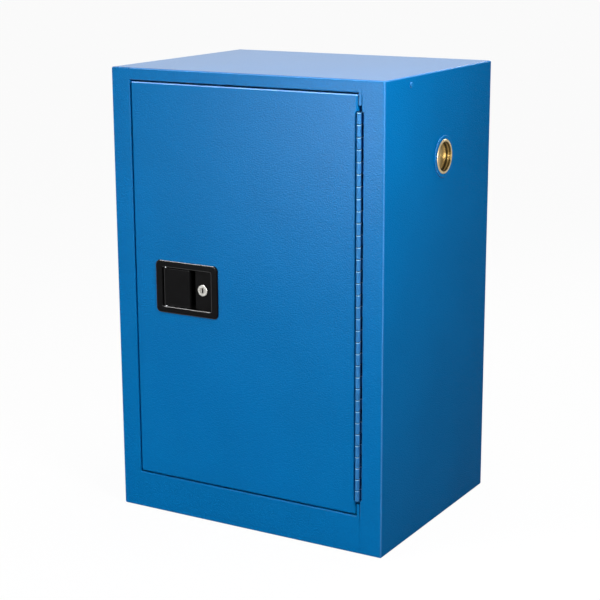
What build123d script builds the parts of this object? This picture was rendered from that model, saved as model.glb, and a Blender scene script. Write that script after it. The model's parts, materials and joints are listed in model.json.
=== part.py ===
from build123d import *
from math import cos, radians, sin, tan
import os

# Acid storage cabinet, in millimetres and degrees.
# The front faces -Y, +X is to the right of someone facing the door, and Z is up from the floor.

# Casing
cabinet_width = 590
cabinet_depth = 460
cabinet_height = 890
floor_gap = 2
sheet = 1.2
edge_radius = 3.5
left_stile = 43
right_stile = 46
header_height = 23
sill_height = 77.5
bottom_flange = 25
fold_lip = 8
fold_radius = 2.2
seam_gap = 0.5
seam_fade = 16

# Door and the frame that it closes on
door_thickness = 40
door_proud = 1
door_gap = 3
door_edge_radius = 3
stop_clearance = 1
stop_lip = 12
stiffener_width = 30
stiffener_shares = (0.3, 0.7)
stiffener_end_gap = 40

# Continuous hinge
hinge_gap = 8
hinge_proud = 2
hinge_bottom_gap = 27.5
hinge_top_gap = 29
knuckle_length = 22
knuckle_gap = 0.6
hinge_leaf = 1.2
hinge_leaf_width = 26
hinge_strap = 11
hinge_relief = 3.4
relief_depth = 27
relief_edge = 2
hinge_pin_radius = 2
hinge_pin_head_radius = 3
hinge_pin_head = 1.5
tongue_gap = 2
tongue_notch_top = 11
tongue_notch_bottom = 7

# Inner box
wall_gap = 38
liner_lap = 8
bottom_level = 24
support_height = 15.2
support_width = 40
support_end_gap = 50
support_inset = 89
sump_depth = 50

# Shelf and trays
standard_width = 20
standard_depth = 6
standard_inset = 65
standard_bottom_gap = 18
standard_top_gap = 20
slot_pitch = 25
slot_width = 4
slot_height = 14
slot_margin = 12
shelf_slot_number = 13
clip_plate = 1.5
clip_width = 16
clip_ledge = 18
clip_rise = 8
clip_drop = 12
hook_width = 3
hook_thickness = 2
hook_top = 2
hook_root = 4
hook_drop = 10
hook_play = 0.2
shelf_side_gap = 1
shelf_front_gap = 12
shelf_back_gap = 4
shelf_rim = 25
tray_gap = 0.6
shelf_tray_wall = 2
shelf_tray_height = 32
shelf_tray_lip = 2.5
sump_tray_gap = 1
sump_tray_wall = 2.5
sump_tray_height = 46

# Vents: one high on the right side, one low on the left side
vent_y = 13
vent_drop = 163
vent_left_z = 190
vent_flange_radius = 40
vent_flange = 2.5
vent_flange_edge = 1.2
vent_tube_radius = 36
vent_bore_radius = 33.2
vent_hole_clearance = 0.2
plug_clearance = 0.3
plug_proud = 0.8
plug_length = 19
plug_cup_radius = 28.5
plug_cup_depth = 13
plug_step_radius = 25.5
plug_step_depth = 10
plug_thread_pitch = 3
plug_thread_depth = 1.2
plug_edge = 0.8
arrester_thickness = 1
arrester_clearance = 0.05
arrester_field_radius = 29
arrester_pitch = 4
arrester_hole = 3

# Ground screw
ground_inset = 100
ground_drop = 15.4
ground_radius = 3
ground_length = 14
ground_head_radius = 5
ground_head = 3
ground_nut_flats = 10
ground_nut_height = 5

# Levelling feet
foot_inset_x = 80
foot_inset_y = 70
foot_pad_radius = 19
foot_pad_height = 8
foot_pad_edge = 1.5
foot_stud_radius = 5
foot_stud_top = 37
foot_hole_clearance = 0.4
foot_nut_flats = 17
foot_nut_height = 8

# Latch housing, with depths measured back from the face of the door
latch_inset = 120
latch_drop = 1.75
bezel_side = 15.5
bezel_rim = 13.25
bezel_radius = 10
bezel_thickness = 3.2
bezel_edge = 2.4
recess_width = 112
recess_height = 78
recess_radius = 3
recess_depth = 16
housing_wall = 2
housing_clearance = 0.5
platform_share = 0.36
platform_depth = 6
stud_inset = 6
stud_radius = 2
stud_length = 8
latch_nut_flats = 7
latch_nut_height = 3.2
clamp_thickness = 2
clamp_margin = 1.5

# Paddle
finger_gap = 8.2
paddle_end_gap = 1.5
paddle_proud = 1.5
paddle_plate = 2
paddle_rim = 6.5
paddle_edge = 1.9
paddle_barrel_radius = 4.5
paddle_side_gap = 0.7
paddle_pin_radius = 2
paddle_angle = 35
tail_half = 2
tail_height = 12
tail_play = 0.7
tail_end_gap = 0.2

# Three-point latch
layer_gap = 0.6
bolt_thickness = 7
bolt_height = 18
bolt_reach = 1.5
bolt_bevel = 4
bolt_guide_gap = 0.3
bolt_end = 10
lug_width = 16
lug_margin = 4
crank_offset = 31
crank_angle = 45
crank_thickness = 2.5
crank_hub_radius = 8
crank_arm_width = 11
crank_pin_radius = 2.5
crank_pin_play = 0.3
pivot_radius = 3
pivot_head_radius = 5
pivot_head = 2
rod_arm = 18
rod_width = 16
rod_thickness = 3
rod_slot_margin = 8
rod_reach = 1.5
rod_tip_radius = 5
rod_tip_offset = 4
rod_tip_length = 60
rod_tip_edge = 2
rod_bar_gap = 40
rod_play = 0.3
bush_radius = 8
bush_length = 18
bush_flange_radius = 10
bush_flange = 2
guide_place = 190
guide_width = 24
guide_length = 20
spring_radius = 3
spring_wire = 0.8
spring_turns = 7
spring_height = 16
spring_end_gap = 0.05
spring_seat_width = 12
spring_seat = 3
spring_seat_inset = 5

# Lock
lock_inset = 17
lock_collar_radius = 11
lock_collar = 2
lock_body_radius = 9
lock_body_clearance = 0.1
lock_body_length = 14
lock_edge = 0.6
lock_nut_flats = 24
lock_nut_height = 3
lock_plug_radius = 6.5
lock_plug_set_back = 0.8
keyway_width = 2.8
keyway_height = 10
keyway_depth = 8
cam_gap = 0.5
cam_thickness = 3
cam_length = 41
cam_width = 10
cam_hub_radius = 8
cam_square = 7
cam_square_play = 0.1
cam_screw_radius = 2
cam_screw_length = 8
cam_screw_head_radius = 4.5
cam_screw_head = 2.2

# Service cover and keepers
window_width = 150
window_height = 110
window_shift = -11
cover_lap = 12
cover_screw_radius = 2
cover_screw_head_radius = 3.8
cover_screw_head = 2
cover_screw_length = 6
cover_screw_inset = 6
strike_thickness = 1.5
strike_half = 9
strike_length = 50
keeper_play = 1.5

# Fits
pin_clearance = 0.05

# Places worked out from the sizes above
left = -cabinet_width / 2
right = cabinet_width / 2
front = -cabinet_depth / 2
back = cabinet_depth / 2
top = cabinet_height
opening_left = left + left_stile
opening_right = right - right_stile
opening_top = top - header_height
opening_bottom = sill_height

door_left = opening_left + door_gap
door_right = opening_right - hinge_gap
door_bottom = opening_bottom + door_gap
door_top = opening_top - door_gap
door_face = front - door_proud
door_back = door_face + door_thickness
jamb_back = door_back + stop_clearance
jamb_depth = jamb_back - front
stop_back = jamb_back + sheet

hinge_x = opening_right - hinge_gap / 2
hinge_y = front - hinge_proud
barrel_radius = hinge_gap / 2
hinge_bottom = door_bottom + hinge_bottom_gap
knuckle_room = door_top - hinge_top_gap - hinge_bottom
knuckle_count = 2 * int((knuckle_room / knuckle_length - 1) / 2) + 1
hinge_top = hinge_bottom + knuckle_count * knuckle_length
tongue_left = door_right + tongue_gap
tongue_top = hinge_top + tongue_notch_top
tongue_bottom = hinge_bottom - tongue_notch_bottom

liner_left_face = opening_left - sheet
liner_right_face = opening_right + sheet
liner_back_face = back - sheet - wall_gap - sheet
liner_top_face = top - sheet - wall_gap - sheet
sump_low = bottom_level + sheet + support_height
sump_rim = sump_low + sheet + sump_depth

standard_bottom = sump_rim + standard_bottom_gap
standard_top = liner_top_face - standard_top_gap
standard_places = (stop_back + standard_inset, liner_back_face - standard_inset)
shelf_slot_z = standard_bottom + slot_margin + slot_pitch * shelf_slot_number
shelf_low = shelf_slot_z + clip_rise
clip_reach = standard_depth + clip_plate + shelf_side_gap
shelf_left = liner_left_face + clip_reach
shelf_right = liner_right_face - clip_reach
shelf_front = stop_back + shelf_front_gap
shelf_back = liner_back_face - shelf_back_gap

vent_right_z = top - vent_drop
latch_x = door_left + latch_inset
latch_z = (door_bottom + door_top) / 2 - latch_drop
window_x = latch_x + window_shift
recess_left = latch_x - recess_width / 2
recess_right = latch_x + recess_width / 2
bezel_width = recess_width + 2 * bezel_side
bezel_height = recess_height + 2 * bezel_rim
platform_left = recess_right - platform_share * recess_width
floor_back = recess_depth + housing_wall
pivot_x = recess_left + paddle_side_gap + paddle_barrel_radius
pivot_depth = paddle_barrel_radius - paddle_proud
bolt_depth = floor_back + layer_gap
bolt_back_depth = bolt_depth + bolt_thickness
crank_depth = bolt_back_depth + layer_gap
crank_back_depth = crank_depth + crank_thickness
rod_depth = crank_back_depth + layer_gap
rod_tip_depth = rod_depth + rod_thickness / 2 - rod_tip_offset
inner_skin_depth = door_thickness - sheet
lock_offset = platform_left + lock_inset - latch_x

# The paddle's tail swings by paddle_angle and carries the bolt along, and the bolt turns the crank
tail_length = bolt_back_depth - pivot_depth - tail_end_gap
swing = radians(paddle_angle)
bolt_travel = tail_length * sin(swing) + tail_half * cos(swing) - tail_half
half_turn = radians(crank_angle / 2)
drive_arm = bolt_travel / (2 * sin(half_turn))
rod_travel = 2 * rod_arm * sin(half_turn)
crank_x = pivot_x + crank_offset
rod_shift = rod_arm * (1 + cos(half_turn)) / 2
upper_rod_x = crank_x + rod_shift
lower_rod_x = crank_x - rod_shift

os.makedirs("parts", exist_ok=True)


def save(piece, name):
    """Label a finished piece and write it."""
    piece.part.label = name
    export_step(piece.part, f"parts/{name}.step")


def block(x0, x1, y0, y1, z0, z1, mode=Mode.ADD):
    """A rectangular block between these limits."""
    with Locations(((x0 + x1) / 2, (y0 + y1) / 2, (z0 + z1) / 2)):
        Box(x1 - x0, y1 - y0, z1 - z0, mode=mode)


def rounded_block(x0, x1, y0, y1, z0, z1, radius):
    """A block with every edge rounded."""
    with BuildPart() as solid:
        block(x0, x1, y0, y1, z0, z1)
        fillet(solid.edges(), radius)
    return solid.part


def at_depth(depth):
    """A plane square to the door, this far behind its face, centred on the latch."""
    return Plane(origin=(latch_x, door_face + depth, latch_z), x_dir=(1, 0, 0), z_dir=(0, -1, 0))


def upright(x, depth, z):
    """A level plane at this height, centred on a place in the door."""
    return Plane(origin=(x, door_face + depth, z))


def side_plane(x, y, z, outward):
    """A plane against a side of the cabinet, facing outward along X."""
    return Plane(origin=(x, y, z), x_dir=(0, outward, 0), z_dir=(outward, 0, 0))


# Casing: one folded skin, cut into the panels that it is welded from
casing_outside = rounded_block(left, right, front, back, floor_gap, top, edge_radius)
casing_inside = rounded_block(
    left + sheet, right - sheet,
    front + sheet, back - sheet,
    floor_gap + sheet, top - sheet,
    edge_radius - sheet,
)


def casing_slice(x0, x1, y0, y1, z0, z1):
    """The stretch of the casing's skin between these limits."""
    with BuildPart() as skin:
        add(casing_outside)
        add(casing_inside, mode=Mode.SUBTRACT)
        block(x0, x1, y0, y1, z0, z1, mode=Mode.INTERSECT)
    return skin.part


def jamb_fold(origin, toward_opening, along, length):
    """The rounded fold from the casing's front back along the door opening."""
    plane = Plane(origin=origin, x_dir=toward_opening, z_dir=along)
    with BuildPart() as fold:
        with BuildSketch(plane) as profile:
            with BuildLine():
                Polyline(
                    (-fold_lip, 0),
                    (0, 0),
                    (0, jamb_depth),
                    (-sheet, jamb_depth),
                    (-sheet, sheet),
                    (-fold_lip, sheet),
                    close=True,
                )
            make_face()
            inner_corner = profile.vertices().sort_by_distance((-sheet, sheet))[0]
            fillet(inner_corner, fold_radius - sheet)
            outer_corner = profile.vertices().sort_by_distance((0, 0))[0]
            fillet(outer_corner, fold_radius)
        extrude(amount=length)
    return fold.part


opening_height = opening_top - opening_bottom
fold_length = tongue_left - opening_left
left_skin = casing_slice(left, opening_left, front, back, floor_gap, top)
right_skin = casing_slice(opening_right, right, front, back, floor_gap, top)
top_skin = casing_slice(opening_left, opening_right, front, back, opening_top, top)
sill_back = front + bottom_flange
back_front = back - bottom_flange
sill_skin = casing_slice(opening_left, opening_right, front, sill_back, floor_gap, opening_bottom)
back_skin = casing_slice(opening_left, opening_right, back_front, back, floor_gap, opening_top)
left_fold = jamb_fold((opening_left, front, opening_bottom), (1, 0, 0), (0, 0, 1), opening_height)
right_fold = jamb_fold((opening_right, front, opening_top), (-1, 0, 0), (0, 0, -1), opening_height)
header_fold = jamb_fold((opening_left, front, opening_top), (0, 0, -1), (1, 0, 0), fold_length)
sill_fold = jamb_fold((tongue_left, front, opening_bottom), (0, 0, 1), (-1, 0, 0), fold_length)

bolt_mid_y = door_face + bolt_depth + bolt_thickness / 2
bolt_half_y = bolt_thickness / 2 + keeper_play
bolt_half_z = bolt_height / 2 + keeper_play
rod_y = door_face + rod_tip_depth
keeper_radius = rod_tip_radius + keeper_play

with BuildPart() as left_side_panel:
    add(left_skin)
    block(
        opening_left - fold_lip, opening_left,
        front, front + sheet,
        opening_bottom, opening_top,
        mode=Mode.SUBTRACT,
    )
    add(left_fold)
    block(
        opening_left - sheet,
        opening_left,
        bolt_mid_y - bolt_half_y,
        bolt_mid_y + bolt_half_y,
        latch_z - bolt_half_z,
        latch_z + bolt_half_z,
        mode=Mode.SUBTRACT,
    )
    with BuildSketch(side_plane(left, vent_y, vent_left_z, -1)):
        Circle(vent_tube_radius + vent_hole_clearance)
    extrude(amount=-sheet, mode=Mode.SUBTRACT)
save(left_side_panel, "left_side_panel")

ground_y = front + ground_inset
ground_z = top - ground_drop
with BuildPart() as right_side_panel:
    add(right_skin)
    block(
        opening_right, opening_right + fold_lip,
        front, front + sheet,
        opening_bottom, opening_top,
        mode=Mode.SUBTRACT,
    )
    add(right_fold)
    # A pocket in the jamb, beside the hinge's barrel
    relief_x = opening_right + hinge_relief
    relief_back = front + relief_depth
    block(
        opening_right, relief_x + sheet,
        front, relief_back + sheet,
        hinge_bottom - sheet, hinge_top + sheet,
    )
    block(opening_right, relief_x, front, relief_back, hinge_bottom, hinge_top, mode=Mode.SUBTRACT)
    relief_middle = (relief_x, front, (hinge_bottom + hinge_top) / 2)
    fillet(right_side_panel.edges().sort_by_distance(relief_middle)[0], relief_edge)
    with BuildSketch(side_plane(right, vent_y, vent_right_z, 1)):
        Circle(vent_tube_radius + vent_hole_clearance)
    extrude(amount=-sheet, mode=Mode.SUBTRACT)
    with BuildSketch(side_plane(right, ground_y, ground_z, 1)):
        Circle(ground_radius + pin_clearance)
    extrude(amount=-sheet, mode=Mode.SUBTRACT)
save(right_side_panel, "right_side_panel")

with BuildPart() as top_panel:
    add(top_skin)
    block(
        opening_left, tongue_left,
        front, front + sheet,
        opening_top, opening_top + fold_lip,
        mode=Mode.SUBTRACT,
    )
    add(header_fold)
    block(tongue_left, opening_right, front, front + sheet, tongue_top, opening_top)
    block(
        opening_right - seam_gap, opening_right,
        front, front + sheet,
        tongue_top, top - seam_fade,
        mode=Mode.SUBTRACT,
    )
    with BuildSketch(Plane.XY.offset(opening_top)):
        with Locations((upper_rod_x, rod_y)):
            Circle(keeper_radius)
    extrude(amount=sheet, mode=Mode.SUBTRACT)
save(top_panel, "top_panel")

with BuildPart() as sill_rail:
    add(sill_skin)
    block(
        opening_left, tongue_left,
        front, front + sheet,
        opening_bottom - fold_lip, opening_bottom,
        mode=Mode.SUBTRACT,
    )
    add(sill_fold)
    block(tongue_left, opening_right, front, front + sheet, opening_bottom, tongue_bottom)
    block(
        opening_right - seam_gap, opening_right,
        front, front + sheet,
        floor_gap, tongue_bottom,
        mode=Mode.SUBTRACT,
    )
    with BuildSketch(Plane.XY.offset(opening_bottom)):
        with Locations((lower_rod_x, rod_y)):
            Circle(keeper_radius)
    extrude(amount=-sheet, mode=Mode.SUBTRACT)
save(sill_rail, "sill_rail")

with BuildPart() as back_panel:
    add(back_skin)
save(back_panel, "back_panel")

foot_x = right - foot_inset_x
foot_y = back - foot_inset_y
foot_spots = [(-foot_x, -foot_y), (foot_x, -foot_y), (-foot_x, foot_y), (foot_x, foot_y)]
foot_names = ["foot_front_left", "foot_front_right", "foot_back_left", "foot_back_right"]
pan_top = bottom_level + sheet

# The bottom pan's lip stands on the bottom flanges of the sides, the sill and the back
with BuildPart() as bottom_panel:
    block(
        left + edge_radius,
        right - edge_radius,
        front + edge_radius,
        back - edge_radius,
        floor_gap + sheet,
        pan_top,
    )
    block(
        left + edge_radius + sheet,
        right - edge_radius - sheet,
        front + edge_radius + sheet,
        back - edge_radius - sheet,
        floor_gap + sheet,
        bottom_level,
        mode=Mode.SUBTRACT,
    )
    with BuildSketch(Plane.XY.offset(bottom_level)):
        with Locations(*foot_spots):
            Circle(foot_stud_radius + foot_hole_clearance)
    extrude(amount=sheet, mode=Mode.SUBTRACT)
save(bottom_panel, "bottom_panel")

with BuildPart() as foot_nuts:
    with BuildSketch(Plane.XY.offset(pan_top)):
        with Locations(*foot_spots):
            RegularPolygon(foot_nut_flats / 2, 6, major_radius=False)
            Circle(foot_stud_radius + pin_clearance, mode=Mode.SUBTRACT)
    extrude(amount=foot_nut_height)
save(foot_nuts, "foot_nuts")

for foot_name, foot_spot in zip(foot_names, foot_spots):
    with BuildPart() as foot:
        with BuildSketch():
            with Locations(foot_spot):
                Circle(foot_pad_radius)
        extrude(amount=foot_pad_height)
        chamfer(foot.edges().group_by(Axis.Z)[-1], foot_pad_edge)
        with BuildSketch(Plane.XY.offset(foot_pad_height)):
            with Locations(foot_spot):
                Circle(foot_stud_radius)
        extrude(amount=foot_stud_top - foot_pad_height)
    save(foot, foot_name)

# Inner box
with BuildPart() as sump_supports:
    x0 = liner_left_face + support_end_gap
    x1 = liner_right_face - support_end_gap
    for support_y in (stop_back + support_inset, liner_back_face - support_inset):
        y0 = support_y - support_width / 2
        y1 = support_y + support_width / 2
        block(x0, x1, y0, y1, pan_top, sump_low)
        block(x0, x1, y0 + sheet, y1 - sheet, pan_top, sump_low - sheet, mode=Mode.SUBTRACT)
save(sump_supports, "sump_supports")

with BuildPart() as sump_pan:
    block(liner_left_face, liner_right_face, stop_back, liner_back_face, sump_low, sump_rim)
    block(
        liner_left_face + sheet,
        liner_right_face - sheet,
        stop_back + sheet,
        liner_back_face - sheet,
        sump_low + sheet,
        sump_rim,
        mode=Mode.SUBTRACT,
    )
save(sump_pan, "sump_pan")


def side_liner(x0, vent_z):
    """An inner side wall, with the hole for its vent."""
    with BuildPart() as wall:
        block(
            x0, x0 + sheet,
            jamb_back - liner_lap, liner_back_face + sheet,
            sump_low, liner_top_face + sheet,
        )
        with BuildSketch(side_plane(x0, vent_y, vent_z, 1)):
            Circle(vent_tube_radius + vent_hole_clearance)
        extrude(amount=sheet, mode=Mode.SUBTRACT)
    return wall


save(side_liner(liner_left_face - sheet, vent_left_z), "liner_left")
save(side_liner(liner_right_face, vent_right_z), "liner_right")

with BuildPart() as liner_back:
    block(
        liner_left_face, liner_right_face,
        liner_back_face, liner_back_face + sheet,
        sump_low, liner_top_face + sheet,
    )
save(liner_back, "liner_back")

with BuildPart() as liner_top:
    block(
        liner_left_face, liner_right_face,
        stop_back, liner_back_face,
        liner_top_face, liner_top_face + sheet,
    )
save(liner_top, "liner_top")

with BuildPart() as door_stop_frame:
    block(
        liner_left_face, liner_right_face,
        jamb_back, stop_back,
        opening_bottom - sheet, opening_top + sheet,
    )
    block(
        opening_left + stop_lip,
        opening_right - stop_lip,
        jamb_back,
        stop_back,
        sump_rim,
        liner_top_face,
        mode=Mode.SUBTRACT,
    )
save(door_stop_frame, "door_stop_frame")

# Shelf standards and clips, on each side wall: inward is +1 on the left wall and -1 on the right one
wall_sides = ((liner_left_face, 1), (liner_right_face, -1))
slot_count = int((standard_top - standard_bottom - 2 * slot_margin) / slot_pitch) + 1
slot_heights = [standard_bottom + slot_margin + slot * slot_pitch for slot in range(slot_count)]


def across(wall, inward, near, far):
    """The limits in X of a stretch from near to far off a side wall."""
    return sorted((wall + inward * near, wall + inward * far))


with BuildPart() as shelf_standards:
    for wall, inward in wall_sides:
        half = standard_width / 2
        for y in standard_places:
            x0, x1 = across(wall, inward, 0, standard_depth)
            block(x0, x1, y - half, y + half, standard_bottom, standard_top)
            x0, x1 = across(wall, inward, 0, standard_depth - sheet)
            block(
                x0, x1,
                y - half + sheet, y + half - sheet,
                standard_bottom, standard_top,
                mode=Mode.SUBTRACT,
            )
        slot_spots = [(inward * y, z) for y in standard_places for z in slot_heights]
        with BuildSketch(side_plane(wall + inward * standard_depth, 0, 0, inward)):
            with Locations(*slot_spots):
                Rectangle(slot_width, slot_height)
        extrude(amount=-sheet, mode=Mode.SUBTRACT)
save(shelf_standards, "shelf_standards")

with BuildPart() as shelf_clips:
    for wall, inward in wall_sides:
        for y in standard_places:
            face = standard_depth
            half = clip_width / 2
            x0, x1 = across(wall, inward, face, face + clip_plate)
            block(x0, x1, y - half, y + half, shelf_slot_z - clip_drop, shelf_low)
            x0, x1 = across(wall, inward, face, face + clip_ledge)
            block(x0, x1, y - half, y + half, shelf_low - clip_plate, shelf_low)
            hook_back = face - sheet - hook_play
            half = hook_width / 2
            x0, x1 = across(wall, inward, hook_back - hook_thickness, face)
            block(x0, x1, y - half, y + half, shelf_slot_z - hook_root, shelf_slot_z + hook_top)
            x0, x1 = across(wall, inward, hook_back - hook_thickness, hook_back)
            block(x0, x1, y - half, y + half, shelf_slot_z - hook_drop, shelf_slot_z + hook_top)
save(shelf_clips, "shelf_clips")

shelf_floor = shelf_low + sheet
with BuildPart() as shelf:
    block(shelf_left, shelf_right, shelf_front, shelf_back, shelf_low, shelf_low + shelf_rim)
    block(
        shelf_left + sheet,
        shelf_right - sheet,
        shelf_front + sheet,
        shelf_back - sheet,
        shelf_floor,
        shelf_low + shelf_rim,
        mode=Mode.SUBTRACT,
    )
save(shelf, "shelf")


def tray(x0, x1, y0, y1, floor, wall, height, lip):
    """An open plastic tray that stands on this floor, with a lip turned out at its rim."""
    with BuildPart() as pan:
        block(x0, x1, y0, y1, floor, floor + height)
        if lip > 0:
            block(x0 - lip, x1 + lip, y0 - lip, y1 + lip, floor + height - wall, floor + height)
        block(
            x0 + wall, x1 - wall, y0 + wall, y1 - wall, floor + wall, floor + height, mode=Mode.SUBTRACT
        )
    return pan


shelf_tray_inset = sheet + tray_gap
save(
    tray(
        shelf_left + shelf_tray_inset,
        shelf_right - shelf_tray_inset,
        shelf_front + shelf_tray_inset,
        shelf_back - shelf_tray_inset,
        shelf_floor,
        shelf_tray_wall,
        shelf_tray_height,
        shelf_tray_lip,
    ),
    "shelf_tray",
)
sump_tray_inset = sheet + sump_tray_gap
save(
    tray(
        liner_left_face + sump_tray_inset,
        liner_right_face - sump_tray_inset,
        stop_back + sump_tray_inset,
        liner_back_face - sump_tray_inset,
        sump_low + sheet,
        sump_tray_wall,
        sump_tray_height,
        0,
    ),
    "sump_tray",
)

# Vents: a flanged sleeve through both walls, a screwed brass plug and a mesh disc at its inner end
vent_sides = (
    ("right", side_plane(right, vent_y, vent_right_z, 1), right - liner_right_face),
    ("left", side_plane(left, vent_y, vent_left_z, -1), liner_left_face - left),
)
arrester_count = 2 * int(arrester_field_radius / arrester_pitch) + 1
arrester_grid = GridLocations(arrester_pitch, arrester_pitch, arrester_count, arrester_count)
arrester_spots = [
    spot for spot in arrester_grid.local_locations if spot.position.length < arrester_field_radius
]

for side_name, vent_plane, wall_depth in vent_sides:
    with BuildPart() as vent_sleeve:
        with BuildSketch(vent_plane):
            Circle(vent_flange_radius)
        extrude(amount=vent_flange)
        outward = Axis(vent_plane.origin, vent_plane.z_dir)
        fillet(vent_sleeve.edges().sort_by(outward)[-1], vent_flange_edge)
        with BuildSketch(vent_plane):
            Circle(vent_tube_radius)
        extrude(amount=-wall_depth)
        with BuildSketch(vent_plane.offset(-wall_depth)):
            Circle(vent_bore_radius)
        extrude(amount=wall_depth + vent_flange, mode=Mode.SUBTRACT)
    save(vent_sleeve, f"vent_sleeve_{side_name}")

    with BuildPart() as vent_plug:
        rim_plane = vent_plane.offset(vent_flange + plug_proud)
        with BuildSketch(rim_plane):
            Circle(vent_bore_radius - plug_clearance)
        extrude(amount=-plug_length)
        chamfer(vent_plug.edges(), plug_edge)
        with BuildSketch(rim_plane):
            Circle(plug_cup_radius)
        extrude(amount=-plug_step_depth, mode=Mode.SUBTRACT)
        # The wide part of the cup has a row of grooves, which stand for its inside thread
        for groove in range(int(plug_step_depth / plug_thread_pitch)):
            with BuildSketch(rim_plane.offset(-(groove + 0.5) * plug_thread_pitch)):
                Circle(plug_cup_radius + plug_thread_depth)
            extrude(amount=-plug_thread_pitch / 2, mode=Mode.SUBTRACT)
        with BuildSketch(rim_plane):
            Circle(plug_step_radius)
        extrude(amount=-plug_cup_depth, mode=Mode.SUBTRACT)
    save(vent_plug, f"vent_plug_{side_name}")

    with BuildPart() as vent_arrester:
        with BuildSketch(vent_plane.offset(-wall_depth)):
            Circle(vent_bore_radius - arrester_clearance)
            with Locations(*arrester_spots):
                Rectangle(arrester_hole, arrester_hole, mode=Mode.SUBTRACT)
        extrude(amount=arrester_thickness)
    save(vent_arrester, f"vent_arrester_{side_name}")

# Ground screw
ground_plane = side_plane(right, ground_y, ground_z, 1)
with BuildPart() as ground_screw:
    with BuildSketch(ground_plane):
        Circle(ground_head_radius)
    extrude(amount=ground_head)
    fillet(ground_screw.faces().sort_by(Axis.X)[-1].edges(), ground_head / 2)
    with BuildSketch(ground_plane):
        Circle(ground_radius)
    extrude(amount=-ground_length)
save(ground_screw, "ground_screw")

with BuildPart() as ground_nut:
    with BuildSketch(ground_plane.offset(-sheet)):
        RegularPolygon(ground_nut_flats / 2, 6, major_radius=False)
        Circle(ground_radius + pin_clearance, mode=Mode.SUBTRACT)
    extrude(amount=-ground_nut_height)
save(ground_nut, "ground_nut")

# Continuous hinge: two leaves whose knuckles alternate on one pin
leaf_back = hinge_y + hinge_leaf_width
jog_y = hinge_y + hinge_strap


def hinge_half(side, first_knuckle):
    """A leaf of the hinge, with every second knuckle: side is -1 on the door and +1 on the frame."""
    knuckles = range(first_knuckle, knuckle_count, 2)
    knuckle_planes = [Plane.XY.offset(hinge_bottom + n * knuckle_length) for n in knuckles]
    half = hinge_leaf / 2
    plate_x = hinge_x + side * (barrel_radius + hinge_relief - half)
    jog_x = (hinge_x + plate_x) / 2
    with BuildPart() as leaf:
        block(plate_x - half, plate_x + half, jog_y, leaf_back, hinge_bottom, hinge_top - knuckle_gap)
        with BuildSketch(*knuckle_planes):
            with Locations((hinge_x, hinge_y)):
                Circle(barrel_radius)
            with Locations((hinge_x, hinge_y + hinge_strap / 2)):
                Rectangle(hinge_leaf, hinge_strap)
            with Locations((jog_x, jog_y + half)):
                Rectangle(barrel_radius + hinge_relief + half, hinge_leaf)
            with Locations((hinge_x, hinge_y)):
                Circle(hinge_pin_radius + pin_clearance, mode=Mode.SUBTRACT)
        extrude(amount=knuckle_length - knuckle_gap)
    return leaf


save(hinge_half(1, 0), "hinge_frame_leaf")
save(hinge_half(-1, 1), "hinge_door_leaf")

with BuildPart() as hinge_pin:
    with BuildSketch(Plane.XY.offset(hinge_bottom)):
        with Locations((hinge_x, hinge_y)):
            Circle(hinge_pin_radius)
    extrude(amount=hinge_top - knuckle_gap - hinge_bottom)
    for head_z in (hinge_bottom - hinge_pin_head, hinge_top - knuckle_gap):
        with BuildSketch(Plane.XY.offset(head_z)):
            with Locations((hinge_x, hinge_y)):
                Circle(hinge_pin_head_radius)
        extrude(amount=hinge_pin_head)
save(hinge_pin, "hinge_pin")

# Door
door_inside = door_back - sheet


def door_pan(inset, radius):
    """The door's form, drawn in by inset: rounded front edges, and set back beside the barrel."""
    with BuildPart() as form:
        block(
            door_left + inset, door_right - inset,
            door_face + inset, door_inside,
            door_bottom + inset, door_top - inset,
        )
        fillet(form.edges() - form.faces().sort_by(Axis.Y)[-1].edges(), radius)
        relief_x = door_right - hinge_relief - inset
        block(
            relief_x, door_right,
            door_face, door_inside,
            hinge_bottom - inset, hinge_top + inset,
            mode=Mode.SUBTRACT,
        )
        relief_middle = (relief_x, door_face + inset, (hinge_bottom + hinge_top) / 2)
        fillet(form.edges().sort_by_distance(relief_middle)[0], relief_edge - inset)
    return form.part


door_outside_form = door_pan(0, door_edge_radius)
door_inside_form = door_pan(sheet, door_edge_radius - sheet)
stud_x = bezel_width / 2 - stud_inset
stud_z = bezel_height / 2 - stud_inset
stud_spots = GridLocations(2 * stud_x, 2 * stud_z, 2, 2).local_locations

with BuildPart() as door_outer_skin:
    add(door_outside_form)
    add(door_inside_form, mode=Mode.SUBTRACT)
    with BuildSketch(at_depth(0)):
        housing_hole = 2 * (housing_wall + housing_clearance)
        Rectangle(recess_width + housing_hole, recess_height + housing_hole)
        with Locations(*stud_spots):
            Circle(stud_radius + housing_clearance)
    extrude(amount=-sheet, mode=Mode.SUBTRACT)
    block(
        door_left,
        door_left + sheet,
        bolt_mid_y - bolt_thickness / 2 - bolt_guide_gap,
        bolt_mid_y + bolt_thickness / 2 + bolt_guide_gap,
        latch_z - bolt_height / 2 - bolt_guide_gap,
        latch_z + bolt_height / 2 + bolt_guide_gap,
        mode=Mode.SUBTRACT,
    )
    for rod_x, edge_z in ((upper_rod_x, door_top - sheet), (lower_rod_x, door_bottom)):
        with BuildSketch(upright(rod_x, rod_tip_depth, edge_z)):
            Circle(bush_radius)
        extrude(amount=sheet, mode=Mode.SUBTRACT)
save(door_outer_skin, "door_outer_skin")

window_plane = Plane(origin=(window_x, door_back, latch_z), x_dir=(1, 0, 0), z_dir=(0, -1, 0))
cover_width = window_width + 2 * cover_lap
cover_height = window_height + 2 * cover_lap
cover_screw_spots = GridLocations(
    cover_width - 2 * cover_screw_inset, cover_height - 2 * cover_screw_inset, 2, 2
).local_locations

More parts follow.
